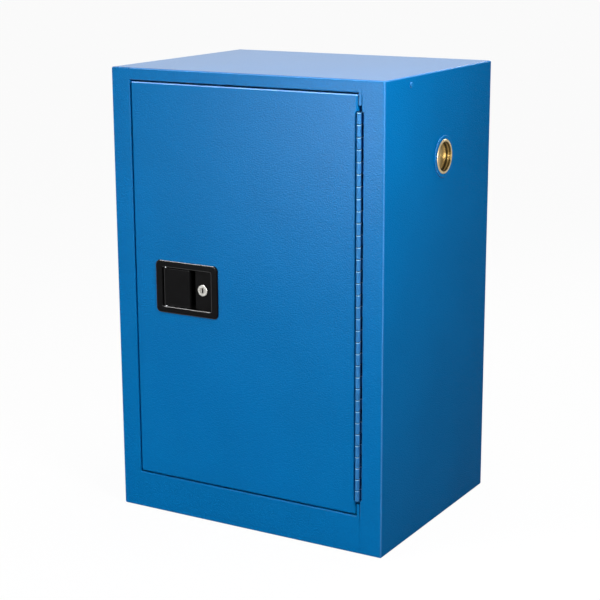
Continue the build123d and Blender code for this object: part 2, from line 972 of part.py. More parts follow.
with BuildPart() as door_inner_skin:
    block(door_left, door_right, door_inside, door_back, door_bottom, door_top)
    fillet(door_inner_skin.edges().filter_by(Axis.Y), door_edge_radius)
    with BuildSketch(window_plane):
        Rectangle(window_width, window_height)
        with Locations(*cover_screw_spots):
            Circle(cover_screw_radius + pin_clearance)
    extrude(amount=sheet, mode=Mode.SUBTRACT)
save(door_inner_skin, "door_inner_skin")

with BuildPart() as latch_cover:
    with BuildSketch(window_plane):
        RectangleRounded(cover_width, cover_height, door_edge_radius)
        with Locations(*cover_screw_spots):
            Circle(cover_screw_radius + pin_clearance, mode=Mode.SUBTRACT)
    extrude(amount=-sheet)
save(latch_cover, "latch_cover")

with BuildPart() as cover_screws:
    with BuildSketch(window_plane.offset(-sheet)):
        with Locations(*cover_screw_spots):
            Circle(cover_screw_head_radius)
    extrude(amount=-cover_screw_head)
    fillet(cover_screws.edges().group_by(Axis.Y)[-1], cover_screw_head / 2)
    with BuildSketch(window_plane.offset(-sheet)):
        with Locations(*cover_screw_spots):
            Circle(cover_screw_radius)
    extrude(amount=cover_screw_length)
save(cover_screws, "cover_screws")

with BuildPart() as door_stiffeners:
    bezel_right = latch_x + bezel_width / 2
    for share in stiffener_shares:
        x = bezel_right + share * (door_right - bezel_right)
        half = stiffener_width / 2
        z0 = door_bottom + stiffener_end_gap
        z1 = door_top - stiffener_end_gap
        y0 = door_face + sheet
        block(x - half, x + half, y0, door_inside, z0, z1)
        block(x - half + sheet, x + half, y0 + sheet, door_inside - sheet, z0, z1, mode=Mode.SUBTRACT)
save(door_stiffeners, "door_stiffeners")

# Latch housing: a bezel on the door's face, a recess for the hand and a raised platform for the lock
recess_low = latch_z - recess_height / 2
recess_high = latch_z + recess_height / 2
tail_slot_right = pivot_x + (floor_back - pivot_depth) * tan(swing) + tail_half / cos(swing) + tail_play
spring_left = crank_x - drive_arm * sin(half_turn) + lug_width / 2
seat_x = platform_left - spring_seat_inset
spring_length = seat_x - spring_left

with BuildPart() as latch_housing:
    with BuildSketch(at_depth(0)):
        RectangleRounded(bezel_width, bezel_height, bezel_radius)
    extrude(amount=bezel_thickness)
    with BuildSketch(at_depth(0)):
        Rectangle(recess_width + 2 * housing_wall, recess_height + 2 * housing_wall)
    extrude(amount=-floor_back)
    with BuildSketch(at_depth(-bezel_thickness)):
        RectangleRounded(recess_width, recess_height, recess_radius)
    extrude(amount=-bezel_thickness - recess_depth, mode=Mode.SUBTRACT)
    fillet(latch_housing.faces().sort_by(Axis.Y)[0].edges(), bezel_edge)
    block(
        platform_left, recess_right,
        door_face + platform_depth, door_face + floor_back,
        recess_low, recess_high,
    )
    block(
        platform_left + housing_wall,
        recess_right,
        door_face + platform_depth + housing_wall,
        door_face + floor_back,
        recess_low,
        recess_high,
        mode=Mode.SUBTRACT,
    )
    with BuildSketch(at_depth(platform_depth)):
        with Locations((lock_offset, 0)):
            Circle(lock_body_radius + lock_body_clearance)
    extrude(amount=-housing_wall, mode=Mode.SUBTRACT)
    block(
        pivot_x - tail_half - tail_play,
        tail_slot_right,
        door_face + recess_depth,
        door_face + floor_back,
        latch_z - tail_height / 2 - tail_play,
        latch_z + tail_height / 2 + tail_play,
        mode=Mode.SUBTRACT,
    )
    with BuildSketch(upright(pivot_x, pivot_depth, recess_low - housing_wall)):
        Circle(paddle_pin_radius + pin_clearance)
    extrude(amount=recess_height + 2 * housing_wall, mode=Mode.SUBTRACT)
    with BuildSketch(at_depth(0)):
        with Locations(*stud_spots):
            Circle(stud_radius)
    extrude(amount=-stud_length)
    block(
        seat_x,
        seat_x + spring_seat,
        door_face + floor_back,
        door_face + bolt_back_depth,
        latch_z + spring_height - spring_seat_width / 2,
        latch_z + spring_height + spring_seat_width / 2,
    )
save(latch_housing, "latch_housing")

with BuildPart() as latch_clamp:
    with BuildSketch(at_depth(sheet)):
        Rectangle(bezel_width - 2 * clamp_margin, bezel_height - 2 * clamp_margin)
        Rectangle(recess_width + housing_hole, recess_height + housing_hole, mode=Mode.SUBTRACT)
        with Locations(*stud_spots):
            Circle(stud_radius + housing_clearance, mode=Mode.SUBTRACT)
    extrude(amount=-clamp_thickness)
save(latch_clamp, "latch_clamp")

with BuildPart() as latch_nuts:
    with BuildSketch(at_depth(sheet + clamp_thickness)):
        with Locations(*stud_spots):
            RegularPolygon(latch_nut_flats / 2, 6, major_radius=False)
            Circle(stud_radius + pin_clearance, mode=Mode.SUBTRACT)
    extrude(amount=-latch_nut_height)
save(latch_nuts, "latch_nuts")

# Paddle
paddle_left = pivot_x - paddle_barrel_radius
paddle_right = platform_left - finger_gap
paddle_low = recess_low + paddle_end_gap
paddle_high = recess_high - paddle_end_gap
paddle_height = paddle_high - paddle_low
paddle_front = door_face - paddle_proud
pivot_y = door_face + pivot_depth

with BuildPart() as paddle:
    block(pivot_x, paddle_right, paddle_front, paddle_front + paddle_rim, paddle_low, paddle_high)
    front_edges = paddle.faces().sort_by(Axis.Y)[0].edges()
    fillet(front_edges - front_edges.sort_by(Axis.X)[:1], paddle_edge)
    block(
        pivot_x + paddle_barrel_radius,
        paddle_right - paddle_plate,
        paddle_front + paddle_plate,
        paddle_front + paddle_rim,
        paddle_low + paddle_plate,
        paddle_high - paddle_plate,
        mode=Mode.SUBTRACT,
    )
    with BuildSketch(upright(pivot_x, pivot_depth, paddle_low)):
        Circle(paddle_barrel_radius)
    extrude(amount=paddle_height)
    block(
        pivot_x - tail_half,
        pivot_x + tail_half,
        pivot_y,
        pivot_y + tail_length,
        latch_z - tail_height / 2,
        latch_z + tail_height / 2,
    )
    with BuildSketch(upright(pivot_x, pivot_depth, paddle_low)):
        Circle(paddle_pin_radius + pin_clearance)
    extrude(amount=paddle_height, mode=Mode.SUBTRACT)
save(paddle, "paddle")

with BuildPart() as paddle_pin:
    with BuildSketch(upright(pivot_x, pivot_depth, recess_low - housing_wall)):
        Circle(paddle_pin_radius)
    extrude(amount=recess_height + 2 * housing_wall)
save(paddle_pin, "paddle_pin")

# Bolt: a bar with a window for the paddle's tail, a slot round the crank's pivot and a lug for its pin
bolt_near = bolt_depth - pivot_depth
window_left = bolt_near * tan(swing) - tail_half / cos(swing) - bolt_travel - tail_play
window_right = tail_half + tail_play
drive_x = crank_x - drive_arm * sin(half_turn)
drive_low = drive_arm * cos(half_turn) - crank_pin_radius - crank_pin_play
drive_high = drive_arm + crank_pin_radius + crank_pin_play
bolt_left = door_left - bolt_reach
bolt_right = crank_x + bolt_end
bolt_y0 = door_face + bolt_depth
bolt_y1 = door_face + bolt_back_depth
pivot_half = pivot_radius + bolt_guide_gap
pin_half = crank_pin_radius + crank_pin_play

with BuildPart() as latch_bolt:
    block(bolt_left, bolt_right, bolt_y0, bolt_y1, latch_z - bolt_height / 2, latch_z + bolt_height / 2)
    tip_edges = latch_bolt.faces().sort_by(Axis.X)[0].edges()
    chamfer(tip_edges.sort_by(Axis.Y)[-1], bolt_bevel)
    block(
        drive_x - lug_width / 2, drive_x + lug_width / 2,
        bolt_y0, bolt_y1,
        latch_z, latch_z + drive_high + lug_margin,
    )
    block(
        pivot_x + window_left,
        pivot_x + window_right,
        bolt_y0,
        bolt_y1,
        latch_z - tail_height / 2 - tail_play,
        latch_z + tail_height / 2 + tail_play,
        mode=Mode.SUBTRACT,
    )
    block(
        crank_x - bolt_travel - pivot_half,
        crank_x + pivot_half,
        bolt_y0,
        bolt_y1,
        latch_z - pivot_half,
        latch_z + pivot_half,
        mode=Mode.SUBTRACT,
    )
    block(
        drive_x - pin_half,
        drive_x + pin_half,
        bolt_y0,
        bolt_y1,
        latch_z + drive_low,
        latch_z + drive_high,
        mode=Mode.SUBTRACT,
    )
save(latch_bolt, "latch_bolt")

with BuildPart() as latch_spring:
    spring_start = spring_left + spring_wire / 2 + spring_end_gap
    spring_run = spring_length - spring_wire - 2 * spring_end_gap
    with BuildLine():
        coil = Helix(
            spring_run / spring_turns,
            spring_run,
            spring_radius,
            center=(spring_start, (bolt_y0 + bolt_y1) / 2, latch_z + spring_height),
            direction=(1, 0, 0),
        )
    with BuildSketch(Plane(origin=coil @ 0, z_dir=coil % 0)):
        Circle(spring_wire / 2)
    sweep(path=coil, is_frenet=True)
save(latch_spring, "latch_spring")

# Crank: at rest its arms stand half of its swing before square, so that they swing evenly to both sides
crank_plane = at_depth(crank_depth)
crank_centre = (crank_x - latch_x, 0)


def crank_arm(angle, length):
    """The end of a crank arm that points this way, from the latch's centre."""
    turned = radians(angle) + half_turn
    return (crank_centre[0] + length * cos(turned), length * sin(turned))


drive_end = crank_arm(90, drive_arm)
rod_ends = [crank_arm(0, rod_arm), crank_arm(180, rod_arm)]

with BuildPart() as latch_crank:
    with BuildSketch(crank_plane):
        with Locations(crank_centre):
            Circle(crank_hub_radius)
        for end in [drive_end] + rod_ends:
            middle = ((crank_centre[0] + end[0]) / 2, end[1] / 2)
            SlotCenterPoint(middle, end, crank_arm_width)
        with Locations(crank_centre):
            Circle(pivot_radius + pin_clearance, mode=Mode.SUBTRACT)
    extrude(amount=-crank_thickness)
    with BuildSketch(crank_plane):
        with Locations(drive_end):
            Circle(crank_pin_radius)
    extrude(amount=layer_gap + bolt_thickness)
    with BuildSketch(at_depth(crank_back_depth)):
        with Locations(*rod_ends):
            Circle(crank_pin_radius)
    extrude(amount=-layer_gap - rod_thickness - crank_pin_play)
save(latch_crank, "latch_crank")

with BuildPart() as crank_pivot:
    with BuildSketch(at_depth(floor_back)):
        with Locations(crank_centre):
            Circle(pivot_radius)
    extrude(amount=floor_back - crank_back_depth - crank_pin_play)
    with BuildSketch(at_depth(crank_back_depth + crank_pin_play)):
        with Locations(crank_centre):
            Circle(pivot_head_radius)
    extrude(amount=-pivot_head)
save(crank_pivot, "crank_pivot")

# Rods: a flat bar with a cross slot for the crank's pin and a round end that runs in a bush
slot_half_x = rod_arm * (1 - cos(half_turn)) / 2 + crank_pin_radius + crank_pin_play
rod_y0 = door_face + rod_depth
rod_y1 = rod_y0 + rod_thickness
rod_pin_rise = rod_arm * sin(half_turn)


def latch_rod(x, up, door_edge):
    """A rod that runs from the crank to an edge of the door: up is +1 or -1."""
    pin_z = latch_z + up * rod_pin_rise
    bar_end = door_edge - up * rod_bar_gap
    tip_end = door_edge + up * rod_reach
    z0, z1 = sorted((pin_z - up * rod_slot_margin, bar_end))
    with BuildPart() as rod:
        block(x - rod_width / 2, x + rod_width / 2, rod_y0, rod_y1, z0, z1)
        block(
            x - slot_half_x, x + slot_half_x,
            rod_y0, rod_y1,
            pin_z - pin_half, pin_z + pin_half,
            mode=Mode.SUBTRACT,
        )
        with BuildSketch(upright(x, rod_tip_depth, min(tip_end, tip_end - up * rod_tip_length))):
            Circle(rod_tip_radius)
        extrude(amount=rod_tip_length)
        tip_face = rod.faces().sort_by(Axis.Z)[-1 if up > 0 else 0]
        fillet(tip_face.edges(), rod_tip_edge)
    return rod


save(latch_rod(upper_rod_x, 1, door_top), "upper_rod")
save(latch_rod(lower_rod_x, -1, door_bottom), "lower_rod")

with BuildPart() as rod_bushes:
    for x, edge, inward in ((upper_rod_x, door_top, -1), (lower_rod_x, door_bottom, 1)):
        with BuildSketch(upright(x, rod_tip_depth, edge)):
            Circle(bush_radius)
        extrude(amount=inward * bush_length)
        with BuildSketch(upright(x, rod_tip_depth, edge + inward * sheet)):
            Circle(bush_flange_radius)
        extrude(amount=inward * bush_flange)
        with BuildSketch(upright(x, rod_tip_depth, edge)):
            Circle(rod_tip_radius + rod_play)
        extrude(amount=inward * bush_length, mode=Mode.SUBTRACT)
save(rod_bushes, "rod_bushes")

with BuildPart() as rod_guides:
    for x, z in ((upper_rod_x, latch_z + guide_place), (lower_rod_x, latch_z - guide_place)):
        half = guide_width / 2
        z0 = z - guide_length / 2
        z1 = z + guide_length / 2
        block(x - half, x + half, rod_y0 - rod_thickness, door_inside, z0, z1)
        half = rod_width / 2 + rod_play
        block(x - half, x + half, rod_y0 - rod_play, rod_y1 + rod_play, z0, z1, mode=Mode.SUBTRACT)
save(rod_guides, "rod_guides")

# Keepers behind the jamb, the header and the sill
with BuildPart() as strike_plates:
    x1 = opening_left - sheet
    half = strike_length / 2
    block(
        x1 - strike_thickness, x1,
        bolt_mid_y - strike_half, bolt_mid_y + strike_half,
        latch_z - half, latch_z + half,
    )
    block(
        x1 - strike_thickness,
        x1,
        bolt_mid_y - bolt_half_y,
        bolt_mid_y + bolt_half_y,
        latch_z - bolt_half_z,
        latch_z + bolt_half_z,
        mode=Mode.SUBTRACT,
    )
    lower_keeper_z = opening_bottom - sheet - strike_thickness
    for x, z in ((upper_rod_x, opening_top + sheet), (lower_rod_x, lower_keeper_z)):
        with BuildSketch(Plane(origin=(x, rod_y, z))):
            Rectangle(strike_length, 2 * strike_half)
            Circle(keeper_radius, mode=Mode.SUBTRACT)
        extrude(amount=strike_thickness)
save(strike_plates, "strike_plates")

# Lock: a barrel in the platform, and a plug that turns with its cam
lock_place = (lock_offset, 0)
lock_end = platform_depth + lock_body_length
cam_depth = lock_end + cam_gap
cam_back = cam_depth + cam_thickness

with BuildPart() as lock_cylinder:
    with BuildSketch(at_depth(platform_depth)):
        with Locations(lock_place):
            Circle(lock_collar_radius)
    extrude(amount=lock_collar)
    fillet(lock_cylinder.faces().sort_by(Axis.Y)[0].edges(), lock_edge)
    with BuildSketch(at_depth(platform_depth)):
        with Locations(lock_place):
            Circle(lock_body_radius)
    extrude(amount=-lock_body_length)
    with BuildSketch(at_depth(lock_end)):
        with Locations(lock_place):
            Circle(lock_plug_radius + pin_clearance)
    extrude(amount=lock_body_length + lock_collar, mode=Mode.SUBTRACT)
save(lock_cylinder, "lock_cylinder")

with BuildPart() as lock_nut:
    with BuildSketch(at_depth(platform_depth + housing_wall)):
        with Locations(lock_place):
            RegularPolygon(lock_nut_flats / 2, 6, major_radius=False)
            Circle(lock_body_radius + lock_body_clearance, mode=Mode.SUBTRACT)
    extrude(amount=-lock_nut_height)
save(lock_nut, "lock_nut")

plug_face = platform_depth - lock_collar + lock_plug_set_back
with BuildPart() as lock_plug:
    with BuildSketch(at_depth(plug_face)):
        with Locations(lock_place):
            Circle(lock_plug_radius)
    extrude(amount=plug_face - cam_depth)
    with BuildSketch(at_depth(cam_depth)):
        with Locations(lock_place):
            Rectangle(cam_square, cam_square)
    extrude(amount=-cam_thickness)
    with BuildSketch(at_depth(plug_face)):
        with Locations(lock_place):
            Rectangle(keyway_width, keyway_height)
    extrude(amount=-keyway_depth, mode=Mode.SUBTRACT)
    with BuildSketch(at_depth(cam_back)):
        with Locations(lock_place):
            Circle(cam_screw_radius + pin_clearance)
    extrude(amount=cam_screw_length, mode=Mode.SUBTRACT)
save(lock_plug, "lock_plug")

with BuildPart() as lock_cam:
    with BuildSketch(at_depth(cam_depth)):
        with Locations(lock_place):
            Circle(cam_hub_radius)
        cam_tip = cam_width / 2 - cam_length
        SlotCenterPoint((lock_offset, cam_tip / 2), (lock_offset, cam_tip), cam_width)
        with Locations(lock_place):
            Rectangle(cam_square + cam_square_play, cam_square + cam_square_play, mode=Mode.SUBTRACT)
    extrude(amount=-cam_thickness)
save(lock_cam, "lock_cam")

with BuildPart() as cam_screw:
    with BuildSketch(at_depth(cam_back)):
        with Locations(lock_place):
            Circle(cam_screw_head_radius)
    extrude(amount=-cam_screw_head)
    with BuildSketch(at_depth(cam_back)):
        with Locations(lock_place):
            Circle(cam_screw_radius)
    extrude(amount=cam_screw_length)
save(cam_screw, "cam_screw")
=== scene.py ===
import bpy
import json
from mathutils import Matrix, Vector


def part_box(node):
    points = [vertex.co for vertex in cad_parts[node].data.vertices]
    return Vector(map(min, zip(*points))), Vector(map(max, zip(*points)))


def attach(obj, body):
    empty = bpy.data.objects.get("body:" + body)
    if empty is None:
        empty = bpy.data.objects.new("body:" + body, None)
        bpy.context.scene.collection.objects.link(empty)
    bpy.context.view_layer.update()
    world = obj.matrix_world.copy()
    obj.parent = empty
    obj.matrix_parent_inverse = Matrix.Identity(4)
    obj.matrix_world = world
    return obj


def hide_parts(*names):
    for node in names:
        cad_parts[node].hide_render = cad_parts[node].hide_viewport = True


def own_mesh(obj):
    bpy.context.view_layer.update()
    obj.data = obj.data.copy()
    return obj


# Acid storage cabinet: finishes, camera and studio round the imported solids. Metres throughout.

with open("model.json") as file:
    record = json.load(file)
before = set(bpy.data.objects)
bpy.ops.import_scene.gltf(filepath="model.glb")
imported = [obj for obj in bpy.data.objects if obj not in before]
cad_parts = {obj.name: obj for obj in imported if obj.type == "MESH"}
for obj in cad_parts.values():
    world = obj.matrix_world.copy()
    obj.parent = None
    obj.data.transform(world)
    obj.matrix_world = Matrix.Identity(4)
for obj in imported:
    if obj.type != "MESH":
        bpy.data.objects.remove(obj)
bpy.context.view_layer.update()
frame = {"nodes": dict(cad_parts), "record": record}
nodes = frame["nodes"]
scene = bpy.context.scene
scene.view_settings.view_transform = "Standard"


def add(name, data):
    """A new object in the scene."""
    made = bpy.data.objects.new(name, data)
    scene.collection.objects.link(made)
    return made


# Colours

white = (1.0, 1.0, 1.0)


def srgb(red, green, blue):
    """A screen colour, 0 to 255, as linear values."""
    out = []
    for value in (red, green, blue):
        value /= 255
        out.append(value / 12.92 if value <= 0.04045 else ((value + 0.055) / 1.055) ** 2.4)
    return tuple(out)


def shade(colour, share):
    """A colour made lighter or darker by a share."""
    return tuple(min(1.0, value * share) for value in colour)


def opaque(colour):
    """A colour with its alpha, as a socket takes it."""
    return (*colour, 1)


# Helpers for shader nodes

def feed(tree, socket, value):
    """Give an input a fixed value, or link it to the output of another node."""
    if isinstance(value, bpy.types.NodeSocket):
        tree.links.new(value, socket)
    else:
        socket.default_value = value


def node(tree, kind, **values):
    """A shader node: its inputs and settings are given by name, with spaces written as underscores."""
    made = tree.nodes.new(kind)
    for key, value in values.items():
        name = key.replace("_", " ")
        if name in made.inputs:
            feed(tree, made.inputs[name], value)
        else:
            setattr(made, key, value)
    return made


def dress(tree, shader, **values):
    """Set a shader's inputs by name, with spaces written as underscores."""
    for key, value in values.items():
        feed(tree, shader.inputs[key.replace("_", " ")], value)


def maths(tree, operation, *values):
    """The result of a Math node on fixed values or outputs."""
    made = node(tree, "ShaderNodeMath", operation=operation)
    for socket, value in zip(made.inputs, values):
        feed(tree, socket, value)
    return made.outputs["Value"]


def largest(tree, first, *others):
    """The largest of several outputs."""
    for other in others:
        first = maths(tree, "MAXIMUM", first, other)
    return first


def stretch(tree, value, low, high, start=0.0, end=1.0, kind="LINEAR"):
    """low to high, while a value runs from start to end."""
    made = node(
        tree, "ShaderNodeMapRange", interpolation_type=kind,
        Value=value, From_Min=start, From_Max=end, To_Min=low, To_Max=high,
    )
    return made.outputs["Result"]


def ramp(tree, fac, low, high, start=0.3, end=0.7):
    """Two colours, run from low to high while fac runs from start to end."""
    made = node(tree, "ShaderNodeValToRGB", Fac=fac)
    for element, position, colour in zip(made.color_ramp.elements, (start, end), (low, high)):
        element.position = position
        element.color = opaque(colour)
    return made.outputs["Color"]


def mix(tree, fac, first, second, kind="MIX"):
    """Two colours, mixed by a factor."""
    made = node(tree, "ShaderNodeMix", data_type="RGBA", blend_type=kind, Factor=fac, A=first, B=second)
    return made.outputs["Result"]


def blend(tree, fac, first, second):
    """Two shaders, mixed by a factor."""
    made = node(tree, "ShaderNodeMixShader", Fac=fac)
    feed(tree, made.inputs[1], first)
    feed(tree, made.inputs[2], second)
    return made.outputs["Shader"]


def place(tree, centre=(0, 0, 0), scale=(1, 1, 1)):
    """Object coordinates, measured from a centre, or scaled along each axis."""
    coords = node(tree, "ShaderNodeTexCoord")
    away = [-value for value in centre]
    made = node(tree, "ShaderNodeMapping", Vector=coords.outputs["Object"], Location=away, Scale=scale)
    return made.outputs["Vector"]


def axes(tree, kind):
    """Outputs X, Y and Z of the object's coordinates ("Object") or of its faces' normals ("Normal")."""
    coords = node(tree, "ShaderNodeTexCoord")
    return node(tree, "ShaderNodeSeparateXYZ", Vector=coords.outputs[kind]).outputs


def normal_sizes(tree):
    """How far a face's normal lies along each of the object's axes, whichever way it points."""
    normal = axes(tree, "Normal")
    return {axis: maths(tree, "ABSOLUTE", normal[axis]) for axis in ("X", "Y", "Z")}


def noise(tree, vector, cells, detail=2.0, roughness=0.5):
    """Grey noise of about this many cells per metre."""
    made = node(tree, "ShaderNodeTexNoise", Vector=vector, Scale=cells, Detail=detail, Roughness=roughness)
    return made.outputs["Fac"]


def wave(tree, vector, kind, scale):
    """A wavy stripe pattern on the X axis: RINGS round it or BANDS along it."""
    made = node(
        tree, "ShaderNodeTexWave", wave_type=kind, rings_direction="X", bands_direction="X",
        Vector=vector, Scale=scale, Distortion=1.2, Detail=2.0, Detail_Scale=4.0,
    )
    return made.outputs["Fac"]


def bump(tree, shader, height, distance, strength=1.0, below=None, socket="Normal"):
    """A bump on the shader's normal or on its coat's, on top of another bump where one is given."""
    made = node(tree, "ShaderNodeBump", Strength=strength, Distance=distance, Height=height)
    if below is not None:
        feed(tree, made.inputs["Normal"], below)
    feed(tree, shader.inputs[socket], made.outputs["Normal"])
    return made.outputs["Normal"]


# Materials

def new_material(name):
    """A new material, its node tree and its Principled shader."""
    material = bpy.data.materials.new(name)
    material.use_nodes = True
    tree = material.node_tree
    return material, tree, tree.nodes["Principled BSDF"]


def glancing_gloss(tree, shader, low, high, ior, roughness, start=0.6, end=0.8, upright=1.0):
    """A clear coat, faint face on and strong at a glancing angle, as on finely textured paint.

    Upright faces, where the paint flows out less well, reach only a share of the level ones' strength."""
    upright_below, level_above = 0.5, 0.9
    angle = node(tree, "ShaderNodeLayerWeight", Blend=0.5)
    if upright < 1:
        high = stretch(tree, normal_sizes(tree)["Z"], high * upright, high, upright_below, level_above)
    weight = stretch(tree, angle.outputs["Facing"], low, high, start, end, "SMOOTHSTEP")
    dress(tree, shader, Coat_Weight=weight, Coat_IOR=ior, Coat_Roughness=roughness)


def seam_lines(tree, colour, line_colour, first, pitch, width):
    """Thin level lines of their own colour across another, a pitch apart from a first height up."""
    middle = 0.5
    steps = maths(tree, "MULTIPLY_ADD", axes(tree, "Object")["Z"], 1 / pitch, middle - first / pitch)
    on_line = maths(tree, "COMPARE", maths(tree, "FRACT", steps), middle, width / pitch / 2)
    return mix(tree, on_line, colour, opaque(line_colour))


def fold_highlight_mask(tree, upward):
    """Where the painted fold highlight goes: 1 on a sheet's rounded folds, or only on those that face up,
    and 0 on flats square to the axes.
    """
    flat_size, fold_size, least_rise = 0.98, 0.88, 0.1
    sizes = normal_sizes(tree)
    mask = stretch(tree, largest(tree, *sizes.values()), 0.0, 1.0, flat_size, fold_size)
    if upward:
        rises = maths(tree, "GREATER_THAN", axes(tree, "Normal")["Z"], least_rise)
        mask = maths(tree, "MULTIPLY", mask, rises)
    return mask


def powder_coat(name, colour, roughness, gleam=1.0, seams=(), fold_highlight=1.0, upward=False):
    """Baked powder paint: an even colour, an orange-peel skin and a slow waviness.

    gleam is its gloss at a glancing angle, and seams are lines across it. Its fold setting gives a painted
    highlight, a paler colour over all folds, or only over those that face upward."""
    drift_cells, peel_cells, wave_cells = 6.0, 380.0, 5.0
    peel_depth, coat_depth, wave_depth = 0.0012, 0.0002, 0.0012
    highlight_lift, highlight_gain = 0.05, 0.15
    material, tree, shader = new_material(name)
    where = place(tree)
    drift = noise(tree, where, drift_cells, detail=3.0)
    even = ramp(tree, drift, shade(colour, 0.96), shade(colour, 1.04))
    peel = noise(tree, where, peel_cells, detail=1.5, roughness=0.6)
    speck = ramp(tree, peel, shade(white, 0.93), white, start=0.35, end=0.65)
    paint = mix(tree, 1.0, even, speck, "MULTIPLY")
    # Folds are painted paler: a painted highlight for the light their rounded bends catch
    if fold_highlight > 0:
        pale = tuple(highlight_lift * fold_highlight + (1 + highlight_gain * fold_highlight) * value for value in colour)
        paint = mix(tree, fold_highlight_mask(tree, upward), paint, opaque(pale))
    for seam in seams:
        paint = seam_lines(tree, paint, *seam)
    skin = bump(tree, shader, peel, peel_depth)
    bump(tree, shader, peel, coat_depth, socket="Coat Normal")
    bump(tree, shader, noise(tree, where, wave_cells, detail=0.5), wave_depth, strength=0.12, below=skin)
    rough = stretch(tree, peel, roughness - 0.06, roughness + 0.06)
    dress(tree, shader, Base_Color=paint, Roughness=rough, IOR=1.02)
    glancing_gloss(tree, shader, low=0.04, high=gleam, ior=1.48, roughness=0.3, upright=0.25)
    return material


def black_paint(name, colour, roughness):
    """Semi-gloss black enamel on the die-cast latch."""
    material, tree, shader = new_material(name)
    where = place(tree)
    drift = noise(tree, where, cells=30.0, detail=3.0)
    grain = noise(tree, where, cells=1100.0)
    bump(tree, shader, grain, distance=0.00008, strength=0.4)
    paint = ramp(tree, drift, shade(colour, 0.8), shade(colour, 1.25))
    rough = stretch(tree, grain, roughness - 0.06, roughness + 0.06)
    dress(tree, shader, Base_Color=paint, Roughness=rough, IOR=1.06)
    glancing_gloss(tree, shader, low=0.05, high=1.0, ior=1.55, roughness=0.12, start=0.2, end=0.4)
    return material


def metal(name, colour, roughness, scale):
    """Plated or brushed metal: streaks along the axis with the smallest scale."""
    material, tree, shader = new_material(name)
    streaks = noise(tree, place(tree, scale=scale), cells=6.0, detail=4.0)
    bump(tree, shader, streaks, distance=0.00006, strength=0.5)
    plate = ramp(tree, streaks, shade(colour, 0.86), shade(colour, 1.08))
    rough = stretch(tree, streaks, roughness - 0.08, roughness + 0.1)
    dress(tree, shader, Base_Color=plate, Roughness=rough, Metallic=1.0)
    return material


def turned_brass(name, centre):
    """Brass turned on a lathe: fine rings round the X axis through a centre, with painted shade in the
    thread's grooves and random tarnish.
    """
    colour = srgb(196, 178, 136)
    stain_colour = (0.7, 0.68, 0.64)
    material, tree, shader = new_material(name)
    where = place(tree, centre)
    rings = wave(tree, where, "RINGS", scale=260.0)
    bump(tree, shader, rings, distance=0.00006, strength=0.4)
    thread = wave(tree, where, "BANDS", scale=52.0)
    # Dark bands in the thread's grooves are painted shade
    thread_groove_shade = ramp(tree, thread, shade(colour, 0.3), shade(colour, 1.05), start=0.15, end=0.65)
    tarnish = noise(tree, where, cells=70.0, detail=4.0)
    brass = mix(tree, 1.0, thread_groove_shade, ramp(tree, tarnish, stain_colour, white), "MULTIPLY")
    rough = stretch(tree, tarnish, low=0.28, high=0.46)
    dress(tree, shader, Base_Color=brass, Roughness=rough, Metallic=1.0)
    return material


def lock_face(name, colour, face_y, depth):
    """Plated lock front: bright at its face, with painted shade in slots that go deeper than a depth
    behind it.
    """
    material, tree, shader = new_material(name)
    # Slots deeper than the depth behind the face get painted shade
    behind = stretch(tree, axes(tree, "Object")["Y"], 0.0, 1.0, face_y + depth, face_y + 2 * depth)
    wear = noise(tree, place(tree), cells=900.0, detail=3.0)
    bump(tree, shader, wear, distance=0.00005, strength=0.5)
    bright = ramp(tree, wear, shade(colour, 0.8), shade(colour, 1.15))
    plate = mix(tree, behind, bright, opaque(shade(colour, 0.02)))
    rough = stretch(tree, wear, low=0.22, high=0.36)
    dress(tree, shader, Base_Color=plate, Roughness=rough, Metallic=1.0)
    return material


def moulded(name, colour, roughness, grain_cells, depth, subsurface=0.0):
    """Moulded plastic or rubber with a fine grain."""
    material, tree, shader = new_material(name)
    where = place(tree)
    cloud = noise(tree, where, cells=14.0, detail=3.0)
    grain = noise(tree, where, grain_cells)
    bump(tree, shader, grain, depth, strength=0.5)
    body = ramp(tree, cloud, shade(colour, 0.94), shade(colour, 1.04))
    rough = stretch(tree, grain, roughness - 0.06, roughness + 0.08)
    dress(tree, shader, Base_Color=body, Roughness=rough)
    if subsurface > 0:
        dress(tree, shader, Subsurface_Weight=subsurface, Subsurface_Radius=(0.004, 0.004, 0.003))
    return material


blue = srgb(0, 110, 176)
outer_roughness = 0.38
# Powder coats with the default fold setting get a painted highlight on all their folds
finishes = {
    "powder_coat": powder_coat("blue_powder_coat", blue, outer_roughness),
    "bare_steel": metal("zinc_plated_steel", srgb(196, 199, 203), roughness=0.34, scale=(8.0, 8.0, 2.0)),
    "mesh": metal("stainless_mesh", srgb(176, 178, 180), roughness=0.4, scale=(20.0, 20.0, 20.0)),
    "latch_black": black_paint("black_latch_enamel", srgb(10, 10, 11), roughness=0.3),
    "nickel": metal("nickel_plate", srgb(222, 220, 214), roughness=0.2, scale=(40.0, 40.0, 40.0)),
    "tray_plastic": moulded(
        "white_polyethylene", srgb(226, 228, 226),
        roughness=0.45, grain_cells=500.0, depth=0.0001, subsurface=0.15,
    ),
    "nylon": moulded(
        "natural_nylon", srgb(226, 223, 206),
        roughness=0.4, grain_cells=700.0, depth=0.00006, subsurface=0.1,
    ),
    "foot_black": moulded(
        "black_foot_plastic", srgb(32, 32, 33),
        roughness=0.55, grain_cells=800.0, depth=0.00012,
    ),
}


def finish_node(name, material):
    """Give a CAD node its material."""
    mesh = nodes[name].data
    mesh.materials.clear()
    mesh.materials.append(material)


for part in frame["record"]["subparts"]:
    name, slot = part["node"], part["material_slot"]
    if slot == "brass":
        low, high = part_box(name)
        finish_node(name, turned_brass("turned_" + name, (low + high) / 2))
    else:
        finish_node(name, finishes[slot])
